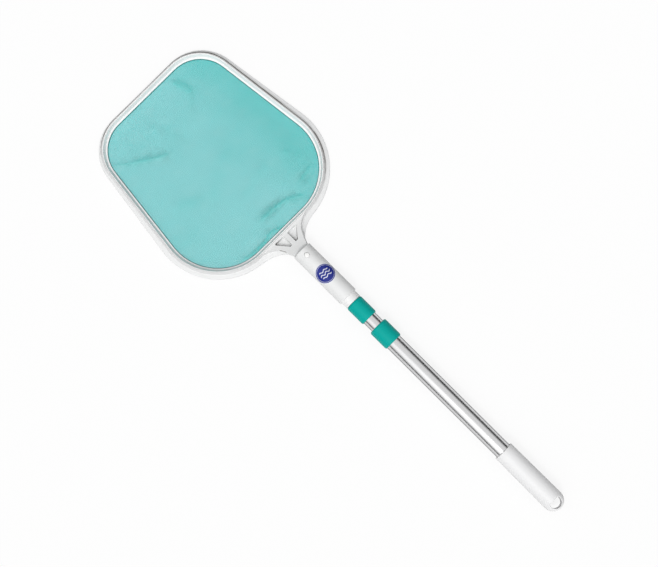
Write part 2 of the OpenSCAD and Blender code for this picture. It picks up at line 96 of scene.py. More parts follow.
def cut_with(piece, tools, operation="DIFFERENCE"):
    """Cuts the piece with tools that lie apart from each other, or joins them to it, and clears them away."""
    first = tools[0]
    if len(tools) > 1:
        work = bmesh.new()
        for tool in tools:
            work.from_mesh(tool.data)
        work.to_mesh(first.data)
        work.free()
    step = piece.modifiers.new("cut", "BOOLEAN")
    step.operation, step.solver, step.object = operation, "EXACT", first
    fixed(piece)
    for tool in tools:
        bpy.data.objects.remove(tool)


def turned(name, profile):
    """A turned piece round the pole's axis. The profile is a closed loop of (station, radius)."""
    sides, m = 96, len(profile)
    around = np.linspace(0, 2 * math.pi, sides, endpoint=False)
    points = [(r * math.sin(a), y, POLE_Z + r * math.cos(a)) for a in around for y, r in profile]
    faces = []
    for i in range(sides):
        j = (i + 1) % sides
        for k in range(m):
            n = (k + 1) % m
            on_axis, next_on_axis = profile[k][1] == 0, profile[n][1] == 0
            if on_axis and next_on_axis:
                continue
            corners = [i * m + k, i * m + n]
            if not next_on_axis:
                corners.append(j * m + n)
            if not on_axis:
                corners.append(j * m + k)
            faces.append(corners)
    return lay_mesh(name, points, faces)


def bent(p0, p1, p2, steps):
    """Points of a soft bend from p0 to p2, pulled towards p1."""
    return [p0 * (1 - t) ** 2 + 2 * p1 * t * (1 - t) + p2 * t * t for t in np.linspace(0, 1, steps + 1)]


def rounded(before, corner, after, radius):
    """Points of a soft corner between two straight lines of a profile."""
    b, c, a = (np.array(p, float) for p in (before, corner, after))
    reach = min(radius, np.linalg.norm(b - c) / 2, np.linalg.norm(a - c) / 2)
    p0 = c + (b - c) / (np.linalg.norm(b - c) or 1) * reach
    p2 = c + (a - c) / (np.linalg.norm(a - c) or 1) * reach
    return [tuple(q) for q in bent(p0, c, p2, 4)]


def softened(profile, radii):
    """A closed profile with its corners rounded, one radius to a corner and 0 where it stays sharp."""
    n = len(profile)
    out = []
    for i, radius in enumerate(radii):
        if radius:
            out += rounded(profile[i - 1], profile[i], profile[(i + 1) % n], radius)
        else:
            out.append(profile[i])
    return out


# The net opening: length, widths and corner radii, and the same of the skirt's outer edge
OPENING_Y, OPENING_END = 555.9, 831.9
OPENING_HALF, OPENING_R = (137.0, 104.0), (82.0, 53.0)
SKIRT_Y, HEAD_END = 539.4, 842.9
SKIRT_HALF, SKIRT_R = (158.0, 114.8), (100.75, 63.9)


def four_corners(y0, y1, halves, radii):
    """Each corner of an outline, from the rear right and anticlockwise: centre, radius, first angle, turn."""
    lean = math.atan((halves[0] - halves[1]) / (y1 - y0))
    x0 = halves[0] - radii[0] * (math.tan(lean) + 1 / math.cos(lean))
    x1 = halves[1] + radii[1] * (math.tan(lean) - 1 / math.cos(lean))
    quarter = math.pi / 2
    return [
        (np.array((x0, y0 + radii[0])), radii[0], -quarter, quarter + lean),
        (np.array((x1, y1 - radii[1])), radii[1], lean, quarter - lean),
        (np.array((-x1, y1 - radii[1])), radii[1], quarter, quarter - lean),
        (np.array((-x0, y0 + radii[0])), radii[0], math.pi - lean, quarter + lean),
    ]


def ray(angle):
    """Direction at an angle from +X, one unit long."""
    return np.array((math.cos(angle), math.sin(angle)))


def stations_round(rear_fine, corner_steps, straight_steps):
    """Places round the opening: (point on its edge, outward direction, point on the skirt's edge)."""
    inner = four_corners(OPENING_Y, OPENING_END, OPENING_HALF, OPENING_R)
    outer = four_corners(SKIRT_Y, HEAD_END, SKIRT_HALF, SKIRT_R)
    out = []
    for i in range(4):
        (c, r, a, turn), (sc, sr, sa, sturn) = inner[i], outer[i]
        share = np.linspace(0, 1, corner_steps + 1)
        # the rear corners start finely as well, because the neck sweeps into them
        if i == 0 and rear_fine:
            share = np.concatenate([np.linspace(0, 0.1, 13)[:-1], np.linspace(0.1, 1, corner_steps)])
        if i == 3 and rear_fine:
            share = np.concatenate([np.linspace(0, 0.9, corner_steps), np.linspace(0.9, 1, 13)[1:]])
        for t in share:
            n = ray(a + turn * t)
            out.append((c + r * n, n, sc + sr * ray(sa + sturn * t)))
        (c2, r2, a2, _), (sc2, sr2, sa2, _) = inner[(i + 1) % 4], outer[(i + 1) % 4]
        p, q = c + r * ray(a + turn), c2 + r2 * ray(a2)
        sp, sq = sc + sr * ray(sa + sturn), sc2 + sr2 * ray(sa2)
        steps = rear_fine if i == 3 and rear_fine else straight_steps
        for t in np.linspace(0, 1, steps + 1)[1:-1]:
            n = ray(a2)
            out.append((p + (q - p) * t, n, sp + (sq - sp) * t))
    return out


# Rim and skirt: heights, and distances outwards from the opening's edge
RIM_H, RIM_D, RIM_TOP_D, CHANNEL_D = 12.4, 9.2, 6.75, 6.35
LEDGE_T, LEDGE_IN = 2.4, 0.8
LIP, SKIRT_T, SKIRT_H, SKIRT_W = 3.0, 1.8, 4.6, 14.0
# Neck: a straight flank from the socket, then a round sweep into the rim; the skirt's web follows lower down
SEAM_Y, NECK_LAP, NECK_HALF, NECK_H, NECK_RISE = 511.8, 1.0, 10.8, 22.5, 5.6
SWEEP_R, FLANK = 33.6, math.radians(23.4)
# Stations up to BACK_X from the middle lie on the neck's back edge, up to FLANK_X on its flank
BACK_X, FLANK_X = 10, 20
WEB_R, WEB_X = 50.0, 54.0
WEB_BACK = SEAM_Y - 2.2  # the web ends in the socket's closed end


def neck_paths():
    """The neck's upper outline on the right by the station's x, and how far out the neck reaches."""
    top_y = OPENING_Y - RIM_TOP_D
    cy = top_y - SWEEP_R
    end_y = cy + SWEEP_R * math.sin(FLANK)
    end_x = NECK_HALF + (end_y - SEAM_Y) * math.tan(FLANK)
    cx = end_x + SWEEP_R * math.cos(FLANK)
    back = SEAM_Y - NECK_LAP
    flank_out = np.array((math.cos(FLANK), -math.sin(FLANK)))

    def edge(x):
        x = abs(x)
        start = np.array((NECK_HALF - 0.3, back))
        if x <= BACK_X:
            turn = max(0.0, (x - 8.5) / 1.5) ** 2
            n = np.array((0.0, -1.0)) * (1 - turn) + flank_out * turn
            return np.array((x / BACK_X * start[0], back)), n / np.linalg.norm(n)
        if x <= FLANK_X:
            t = (x - BACK_X) / (FLANK_X - BACK_X)
            return start + (np.array((end_x, end_y)) - start) * t, flank_out
        t = min(1.0, (x - FLANK_X) / (cx - FLANK_X))
        a = math.pi - FLANK - (math.pi / 2 - FLANK) * t
        return np.array((cx, cy)) + SWEEP_R * ray(a), -ray(a)

    return edge, cx


def web_y(x):
    """The skirt's edge beside the neck."""
    x = abs(x)
    cy = SKIRT_Y - WEB_R
    if x >= WEB_X:
        return SKIRT_Y
    return cy + math.sqrt(max(0.0, WEB_R**2 - (WEB_X - x) ** 2))


def within(t):
    """Keeps a share between 0 and 1."""
    return min(1.0, max(0.0, t))


def eased(t):
    """A share from 0 to 1 that starts and ends gently."""
    return t**2 * (3 - 2 * t)


def under_z(y):
    """Height of the neck's underside, which rises towards the socket."""
    return NECK_RISE * within((SKIRT_Y - y) / (SKIRT_Y - SEAM_Y))


def plate_z(y):
    """Height of the neck's upper face, which climbs from the rim to the socket."""
    foot_y = OPENING_Y - RIM_D - 1.2
    t = within((foot_y - y) / (foot_y - SEAM_Y))
    return RIM_H + (NECK_H - RIM_H) * (0.35 * t * t + 0.65 * t)


def head_section(place, neck_edge, neck_reach):
    """The closed cross-section of the moulding at one station, from the rim's top outwards and round."""
    base, n, skirt = place
    aside, at_rear = abs(base[0]), base[1] < OPENING_Y + 12
    if at_rear:
        skirt = skirt + (0, web_y(skirt[0]) - SKIRT_Y)
    neck = aside < neck_reach and base[1] < OPENING_Y + 3

    def flat(d):
        return base + d * n

    def p(xy, z):
        return np.array((xy[0], xy[1], z))

    def plate_at(xy):
        return plate_z(xy[1]) if neck else RIM_H

    top_edge, out = flat(RIM_TOP_D), n
    if neck:
        edge, edge_out = neck_edge(base[0])
        if base[0] < 0:
            edge, edge_out = edge * (-1, 1), edge_out * (-1, 1)
        if aside < OPENING_HALF[0] - OPENING_R[0] or (edge - base) @ n > RIM_TOP_D:
            top_edge, out = edge, edge_out
    # the outer wall leans by the spread: most round the rim, hardly on the neck
    spread = 2.5 + 0.6 * within((SKIRT_W - np.linalg.norm(skirt - base)) / 3)
    if neck:
        sweep = within((aside - FLANK_X) / (neck_reach - FLANK_X))
        spread = 0.3 if aside < 8 else 0.9 + (spread - 0.9) * eased(sweep)
    foot = top_edge + spread * out
    if neck:
        # march out to the web's edge
        reach = 0.0
        while reach < SKIRT_W:
            q = foot + reach * out
            if q[1] < max(web_y(q[0]), WEB_BACK):
                break
            reach += 0.05
        blend = eased(within((aside - 34) / (neck_reach - 34)))
        skirt = (foot + max(reach, 0.35) * out) * (1 - blend) + skirt * blend
    span = np.linalg.norm(skirt - foot)
    low = under_z(skirt[1])
    foot_h = low + LIP + min(SKIRT_H - LIP, 0.82 * span)
    start = flat(CHANNEL_D + 0.12)
    rows = [p(flat(CHANNEL_D), RIM_H - 0.15), p(flat(CHANNEL_D + 0.03), RIM_H - 0.04), p(start, RIM_H)]
    way = top_edge - start
    length = np.linalg.norm(way)
    soft = min(0.6, 0.35 * length)
    for t in np.linspace(0, 1, 31)[1:]:
        q = start + way * (t * (1 - soft / length))
        rows.append(p(q, plate_at(q)))
    edge_top = rows[-1]
    corner = p(top_edge, plate_at(top_edge))
    wall = p(foot, foot_h) - corner
    drop = np.linalg.norm(wall)
    wall_foot_r = min(0.8, 0.4 * span)
    t_f = math.acos(max(-1.0, 1 - wall_foot_r / span)) if span > wall_foot_r else math.pi / 2

    def dome(angle):
        q = skirt + (foot - skirt) * (1 - math.cos(angle))
        return p(q, low + LIP + (foot_h - low - LIP) * math.sin(angle))

    rows += bent(edge_top, corner, corner + wall * (soft / drop), 4)[1:]
    first = dome(t_f)
    foot_corner = p(foot, first[2])
    wall_end = corner + (foot_corner - corner) * (1 - wall_foot_r / drop)
    rows += bent(wall_end, foot_corner, first, 4)
    for t in np.linspace(1, 0, 10)[1:]:
        rows.append(dome(t_f * t))
    rows += [p(skirt, low + 0.35), p(skirt - 0.12 * out, low + 0.1), p(skirt - 0.4 * out, low)]
    # underside: the hollow of the skirt, closed under the neck and where the skirt is too narrow for it
    rim_foot = flat(RIM_D)
    inward = rim_foot - skirt
    room = np.linalg.norm(inward)
    open_share = within((room - 3.2) / 1.8)
    if at_rear:
        open_share *= within((aside - 52) / 10)
    open_share = eased(open_share)
    wall_in = skirt + inward * (min(SKIRT_T, 0.45 * room) / room)
    side, roof = (LIP - SKIRT_T) * open_share, (foot_h - SKIRT_T) * open_share
    rows.append(p(wall_in, under_z(wall_in[1])))
    for t in np.linspace(0, 1, 9):
        a = t * math.pi / 2
        q = wall_in + (flat(RIM_D + 0.25) - wall_in) * (1 - math.cos(a) + 0.002)
        rows.append(p(q, under_z(q[1]) + side + (roof - side) * math.sin(a)))
    for d, z in (
        (RIM_D, 0.25), (RIM_D - 0.25, 0), (-LEDGE_IN + 0.25, 0), (-LEDGE_IN, 0.25),
        (-LEDGE_IN, LEDGE_T - 0.25), (-LEDGE_IN + 0.25, LEDGE_T),
        (CHANNEL_D - 0.4, LEDGE_T), (CHANNEL_D, LEDGE_T + 0.4),
    ):
        rows.append(p(flat(d), z))
    return rows


head_places = stations_round(rear_fine=124, corner_steps=30, straight_steps=22)
neck_edge, neck_reach = neck_paths()


def skin_between(rings, m, closed=False):
    """Four-sided faces between rings of m points, one ring after the other; closed joins the two ends."""
    return [
        (i * m + j, i * m + (j + 1) % m, (i + 1) % rings * m + (j + 1) % m, (i + 1) % rings * m + j)
        for i in range(rings if closed else rings - 1)
        for j in range(m)
    ]


def swept_loop(name, sections):
    """Closes a ring of equal cross-sections into one skin."""
    faces = skin_between(len(sections), len(sections[0]), closed=True)
    return lay_mesh(name, [q for section in sections for q in section], faces)


head = swept_loop("head_moulding", [head_section(place, neck_edge, neck_reach) for place in head_places])

# Socket: the pole's adapter slides into its bore up to the closed end
SOCKET_Y, SOCKET_R, SOCKET_BORE_R, SOCKET_END_T = 418.8, 15.15, 13.05, 3.0
socket = turned(
    "socket_tool",
    softened(
        [
            (SOCKET_Y, SOCKET_R), (SEAM_Y, SOCKET_R), (SEAM_Y, 0.0), (SEAM_Y - SOCKET_END_T, 0.0),
            (SEAM_Y - SOCKET_END_T, SOCKET_BORE_R), (SOCKET_Y, SOCKET_BORE_R),
        ],
        [1.2, 1.3, 0, 0, 0.5, 0.4],
    ),
)
cut_with(head, [socket], "UNION")

# Gussets: distances outwards from the opening's edge, and heights at the rim's wall and at the skirt's shell
GUSSETS, GUSSET_T, GUSSET_UP = 5, 1.6, 0.05
GUSSET_IN, GUSSET_OUT, GUSSET_TAPER = RIM_D - 0.9, 15.7, 3.3
GUSSET_WALL_H, GUSSET_SHELL_H = 3.6, 2.3


def gusset(side, share):
    """One rib of the hollow skirt, from the rim's wall to the skirt's shell."""
    inner = four_corners(OPENING_Y, OPENING_END, OPENING_HALF, OPENING_R)
    start = inner[0][0] + inner[0][1] * ray(inner[1][2])
    end = inner[1][0] + inner[1][1] * ray(inner[1][2])
    base = start + (end - start) * share
    n = ray(inner[1][2])
    t = np.array((-n[1], n[0]))
    reach = GUSSET_OUT - GUSSET_TAPER * share
    rib = [(GUSSET_IN, GUSSET_UP), (reach, GUSSET_UP), (reach, GUSSET_SHELL_H), (GUSSET_IN, GUSSET_WALL_H)]
    points = []
    for s in (-GUSSET_T / 2, GUSSET_T / 2):
        for d, z in rib:
            x, y = base + d * n + s * t
            points.append((side * x, y, z))
    faces = [(3, 2, 1, 0), (4, 5, 6, 7)] + [(i, (i + 1) % 4, 4 + (i + 1) % 4, 4 + i) for i in range(4)]
    return lay_mesh("gusset_tool", points, faces)


cut_with(
    head, [gusset(side, i / (GUSSETS + 1)) for side in (-1, 1) for i in range(1, GUSSETS + 1)], "UNION"
)

# Sink pockets beside the neck's rib, cut to an even depth below its sloping face; their walls lean
POCKET_DEEP, POCKET_R = 5.5, 1.5
POCKET_CENTRES = [np.array(c) for c in ((5.1, 528.9), (6.7, 528.9), (19.1, 544.4), (5.1, 544.4))]


def pocket_outline(side, grow):
    """Rounded outline of a sink pocket, grown outwards."""
    r = POCKET_R + grow
    out = []
    for k, here in enumerate(POCKET_CENTRES):
        before, after = POCKET_CENTRES[k - 1], POCKET_CENTRES[(k + 1) % 4]
        u, v = here - before, after - here
        a0 = math.atan2(u[1], u[0]) - math.pi / 2
        a1 = math.atan2(v[1], v[0]) - math.pi / 2
        while a1 < a0:
            a1 += 2 * math.pi
        for t in np.linspace(0, 1, 9):
            q = here + r * ray(a0 + (a1 - a0) * t)
            out.append((side * q[0], q[1]))
    return out


def plugged(name, rings):
    """A tool or piece with its skin through the rings, closed at both ends."""
    m, n = len(rings[0]), len(rings)
    faces = skin_between(n, m) + [tuple(range(m)), tuple((n - 1) * m + j for j in range(m))]
    return lay_mesh(name, [q for ring in rings for q in ring], faces)


def pocket_tool(side):
    """Cuts one pocket: a small round at its floor, leaning walls and a soft lip."""
    levels = [(-1.4, -POCKET_DEEP), (-1.2, -POCKET_DEEP + 0.1), (-1.1, -POCKET_DEEP + 0.4), (0, -0.5)]
    levels += [(0.12, -0.16), (0.45, 0.02), (1.6, 0.9)]
    rings = [[(x, y, plate_z(y) + up) for x, y in pocket_outline(side, grow)] for grow, up in levels]
    return plugged("pocket_tool", rings)


# Snap button: its place along the pole and its radius
SNAP_Y, SNAP_R = 500.8, 3.9


def upright(name, steps):
    """A round upright tool or piece at the snap button's place, from (height, radius) steps."""
    around = np.linspace(0, 2 * math.pi, 64, endpoint=False)
    return plugged(name, [[(r * math.cos(a), SNAP_Y + r * math.sin(a), z) for a in around] for z, r in steps])


button_tool = upright("button_tool", [(20, SNAP_R + 0.2), (30.4, SNAP_R + 0.2), (32, SNAP_R + 0.9)])
cut_with(head, [pocket_tool(-1), pocket_tool(1), button_tool])
finish_edges(head, 32)


def paint_step_shade(piece):
    """Marks painted shade, a dark grey put where shadow falls: in the step outside the rim's top, least on
    the near and -X sides, and on the pocket walls that face +X."""
    at = np.empty(len(piece.data.vertices) * 3)
    piece.data.vertices.foreach_get("co", at)
    at = at.reshape(-1, 3) / MM + (0, SKIMMER_L / 2, 0)
    x, y, z = at.T
    places = head_places[::3]
    reach = np.array([(x - b[0]) * n[0] + (y - b[1]) * n[1] for b, n, _ in places])
    out = reach.max(axis=0)
    away_from_light, shaded_way = (0.74, 0.67), (-0.9, -0.4)
    side = np.array([n @ away_from_light for _, n, _ in places])[reach.argmax(axis=0)]
    # painted shade: the step outside the rim's top darkens on the sides that face away from the key light
    step = (out > RIM_TOP_D + 0.1) & (out < RIM_TOP_D + 3.4) & (z > 4.2) & (z < RIM_H - 0.4)
    soil = (step & (y > OPENING_Y - 9)) * np.clip((side + 0.25) / 0.6, 0, 1)
    deep = np.array([plate_z(v) for v in y]) - z
    beside_neck = (abs(x) < 22) & (y > 526) & (y < 547) & (z > 6)
    sunk = beside_neck & (deep > 0.3) & (deep < POCKET_DEEP - 0.2)
    # painted shade: the pocket walls on the side away from the key light darken
    for hand in (-1, 1):
        away = at[:, :2] - np.mean(pocket_outline(hand, 0), axis=0)
        toward = away @ shaded_way / np.linalg.norm(away, axis=1)
        soil += (sunk & (x * hand > 0)) * np.clip((toward - 0.05) / 0.3, 0, 1)
    piece.data.attributes.new("soil", "FLOAT", "POINT").data.foreach_set("value", soil.astype(np.float32))


paint_step_shade(head)


class Finish:
    """A new material with its shader, and short ways to wire noise, colour, shine and grain into it."""

    def __init__(self, name):
        self.material = bpy.data.materials.new(name)
        self.material.use_nodes = True
        self.new, self.link = self.material.node_tree.nodes.new, self.material.node_tree.links.new
        self.shader = self.material.node_tree.nodes["Principled BSDF"].inputs
        self.place = self.new("ShaderNodeTexCoord").outputs["Object"]

    def noise(self, where, scale, detail=2):
        """Cloudy variation; a higher scale makes it finer."""
        node = self.new("ShaderNodeTexNoise")
        node.inputs["Scale"].default_value, node.inputs["Detail"].default_value = scale, detail
        self.link(where, node.inputs["Vector"])
        return node.outputs["Fac"]

    def tones(self, value, low, high, start=0.0, end=1.0):
        """A ramp between two colours."""
        node = self.new("ShaderNodeValToRGB")
        for stop, place, colour in zip(node.color_ramp.elements, (start, end), (low, high)):
            stop.position, stop.color = place, (*colour, 1)
        self.link(value, node.inputs["Fac"])
        return node.outputs["Color"]

    def blend(self, share, first, second):
        """A second colour laid over the first; the first may be a socket."""
        node = self.new("ShaderNodeMix")
        node.data_type = "RGBA"
        node.inputs["B"].default_value = (*second, 1)
        if isinstance(first, tuple):
            node.inputs["A"].default_value = (*first, 1)
        else:
            self.link(first, node.inputs["A"])
        self.link(share, node.inputs["Factor"])
        return node.outputs["Result"]

    def shine(self, value, low, high):
        """A roughness that wanders between two values."""
        node = self.new("ShaderNodeMapRange")
        node.inputs["To Min"].default_value, node.inputs["To Max"].default_value = low, high
        self.link(value, node.inputs["Value"])
        self.link(node.outputs["Result"], self.shader["Roughness"])

    def grain(self, value, height, strength=1.0):
        """A fine relief of the given height in metres."""
        node = self.new("ShaderNodeBump")
        node.inputs["Distance"].default_value, node.inputs["Strength"].default_value = height, strength
        self.link(value, node.inputs["Height"])
        self.link(node.outputs["Normal"], self.shader["Normal"])

    def marked(self, attribute):
        """A value that the mesh carries."""
        node = self.new("ShaderNodeAttribute")
        node.attribute_name = attribute
        return node.outputs["Fac"]


def moulded_plastic(name, colour, roughness=0.42, mottle=0.03, gloss=0.5, soil=None):
    """Injection-moulded plastic: an even colour that clouds a little, and a fine satin skin."""
    made = Finish(name)
    made.shader["Specular IOR Level"].default_value = gloss
    made.shader["IOR"].default_value = 1.49
    cloud = made.noise(made.place, 14, 4)
    tone = made.tones(cloud, [c * (1 - mottle) for c in colour], colour, 0.3, 0.7)
    # painted shade: where the mesh carries the mark, the colour turns towards the given dark grey
    if soil:
        tone = made.blend(made.marked("soil"), tone, soil)
    made.link(tone, made.shader["Base Color"])
    made.shine(cloud, roughness - 0.05, roughness + 0.06)
    made.grain(made.noise(made.place, 1600), 0.00002, 0.6)
    return made.material


def dress(piece, material, body, node):
    """Gives a finished piece its material, the body it moves with and the node it stands for."""
    piece.data.materials.clear()
    piece.data.materials.append(material)
    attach(piece, body)
    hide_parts(node)


# the dark grey is painted shade in the rim's step and the sink pockets
head_white = moulded_plastic("head_white", (0.71, 0.715, 0.715), gloss=0.35, soil=(0.17, 0.16, 0.15))
dress(head, head_white, "head_section", "head_frame")

# ---------------------------------------------------------------------------------------------------------
# RETAINING RING
# A white moulded ring that is pushed into the rim's channel and clamps the net on the ledge. A low flange
# shows beside the net, then a steep inner wall, then the rounded crest level with the rim.
# ---------------------------------------------------------------------------------------------------------
RING_Z, RING_IN, RING_OUT, RING_LIP, RING_TOP = 3.0, -0.2, 5.8, 6.05, 12.9
ring_profile = softened(
    [
        (RING_IN, RING_Z), (RING_IN, RING_Z + 2.2), (2.1, RING_Z + 2.5), (4.6, RING_TOP - 0.6),
        (5.1, RING_TOP), (RING_LIP, RING_TOP), (RING_LIP, RING_TOP - 1.6), (RING_OUT, RING_TOP - 2.2),
        (RING_OUT, RING_Z + 4), (RING_LIP, RING_Z + 3), (RING_OUT, RING_Z + 2), (RING_OUT, RING_Z),
    ],
    [0, 0.5, 0.7, 0.5, 0.5, 0.3, 0.2, 0, 0, 0.3, 0, 0],
)
ring_places = stations_round(rear_fine=0, corner_steps=40, straight_steps=10)
ring = swept_loop(
    "clamp_ring",
    [[np.array((*(b + d * n), z)) for d, z in ring_profile] for b, n, _ in ring_places],
)
ring_white = moulded_plastic("ring_white", (0.83, 0.83, 0.83), gloss=0.2)
dress(ring, ring_white, "head_section", "retaining_ring")

# ---------------------------------------------------------------------------------------------------------
# NET
# Fine nylon net in light turquoise, woven from flat tapes a millimetre apart and clamped all round under the
# ring. It lies slightly slack, with soft waves and a few creases from folding.
# ---------------------------------------------------------------------------------------------------------
NET_HEM, NET_Z = 5.2, 2.7
# Folds left by packing: points of each fold's line, height, half width and how much painted shade darkens the
# fold
FOLDS = [
    ([(-13, 585), (12, 585), (35, 582), (63, 566)], 2.4, 2.6, 1.3),
    ([(68, 585), (86, 589), (103, 592)], 1.5, 1.8, 0.8),
    ([(-74, 564), (-49, 559), (-28, 559), (-14, 563), (10, 557)], 1.8, 2.0, 1.6),
    ([(-107, 796), (-92, 784), (-77, 773)], 1.3, 1.8, 0.8),
    ([(-84, 778), (-60, 762), (-32, 746)], 1.9, 3.2, 0.8),
    ([(43, 822), (55, 788)], 1.8, 4.0, 0.9),
    ([(55, 792), (30, 770)], 1.1, 3.5, 0.4),
    ([(80, 640), (104, 604)], 1.2, 1.5, 0.6),
    ([(-60, 640), (-10, 672), (40, 700)], 1.3, 11.0, 0.25),
    ([(-20, 760), (70, 700)], -1.2, 14.0, 0.0),
    ([(-90, 690), (-40, 660)], 1.0, 8.0, 0.3),
    ([(-20, 620), (60, 640)], 1.1, 8.0, 0.25),
    ([(-30, 800), (0, 740)], 0.9, 7.0, 0.2),
]


def net_height(x, y):
    """The slack net above its plane: its long waves, its folds, and how much painted shade darkens it there.
    """
    waves = 0.6 * np.sin(x / 31 + 0.6) * np.cos(y / 43) + 0.5 * np.sin((x + y) / 38 + 1.9)
    folds, closed = np.zeros_like(x), np.zeros_like(x)
    for line, h, w, fold_shade in FOLDS:
        off, along = np.full_like(x, 1e3), np.zeros_like(x)
        lengths = [math.dist(p, q) for p, q in zip(line, line[1:])]
        done = 0.0
        for (x0, y0), (x1, y1), length in zip(line, line[1:], lengths):
            t = np.clip(((x - x0) * (x1 - x0) + (y - y0) * (y1 - y0)) / length**2, 0, 1)
            away = np.hypot(x - x0 - t * (x1 - x0), y - y0 - t * (y1 - y0))
            along = np.where(away < off, (done + t * length) / sum(lengths), along)
            off = np.minimum(off, away)
            done += length
        ends = np.clip(6 * np.minimum(along, 1 - along), 0.15, 1)
        ridge = np.exp(-((off / w) ** 1.6)) * ends
        folds = folds + h * ridge
        # painted shade along each fold, stored on the sheet
        closed = np.maximum(closed, fold_shade * np.exp(-((off / (1.1 * w)) ** 2)) * ends)
    return waves, folds, closed


def slack_sheet():
    """The net's surface without its threads: rings of points from the clamped edge towards the middle."""
    places = stations_round(rear_fine=0, corner_steps=44, straight_steps=60)
    edge = np.array([b + NET_HEM * n for b, n, _ in places])
    centre = np.array((0.0, (OPENING_Y + OPENING_END) / 2))
    rings, m = 110, len(edge)
    share = np.linspace(1, 0.012, rings)
    flat = (centre + share[:, None, None] * (edge - centre)[None]).reshape(-1, 2)
    waves, folds, closed = net_height(flat[:, 0], flat[:, 1])
    depth = np.array([(e - centre) @ n for e, (_, n, _) in zip(edge, places)])
    gap = ((1 - share)[:, None] * depth[None]).ravel()

    def freed(reach):
        """0 where the ring clamps the net, 1 from the reach inwards."""
        return eased(np.clip((gap - NET_HEM - 0.5) / reach, 0, 1))

    points = np.c_[flat, NET_Z + waves * freed(26) + folds * freed(2.5)]
    faces = skin_between(rings, m)
    faces.append(tuple((rings - 1) * m + j for j in range(m)))
    mesh = bpy.data.meshes.new("pool_net")
    mesh.from_pydata(to_frame(points).tolist(), [], faces)
    made = bpy.data.objects.new("pool_net", mesh)
    bpy.context.scene.collection.objects.link(made)
    near_edge = np.clip(1.4 - gap / 9, 0, 1)
    # the "closed" value is the painted shade in the folds
    for name, values in (("fine", np.maximum(closed, near_edge)), ("closed", closed)):
        mesh.attributes.new(name, "FLOAT", "POINT").data.foreach_set("value", values.astype(np.float32))
    return made


def calculator(new, link):
    """A short way to add Math nodes: each takes numbers or sockets and hands on its result."""
    def calc(operation, a, b=None):
        node = new("ShaderNodeMath")
        node.operation = operation
        for socket, value in zip(node.inputs, (a, b)):
            if isinstance(value, (int, float)):
                socket.default_value = value
            elif value is not None:
                link(value, socket)
        return node.outputs[0]

    return calc


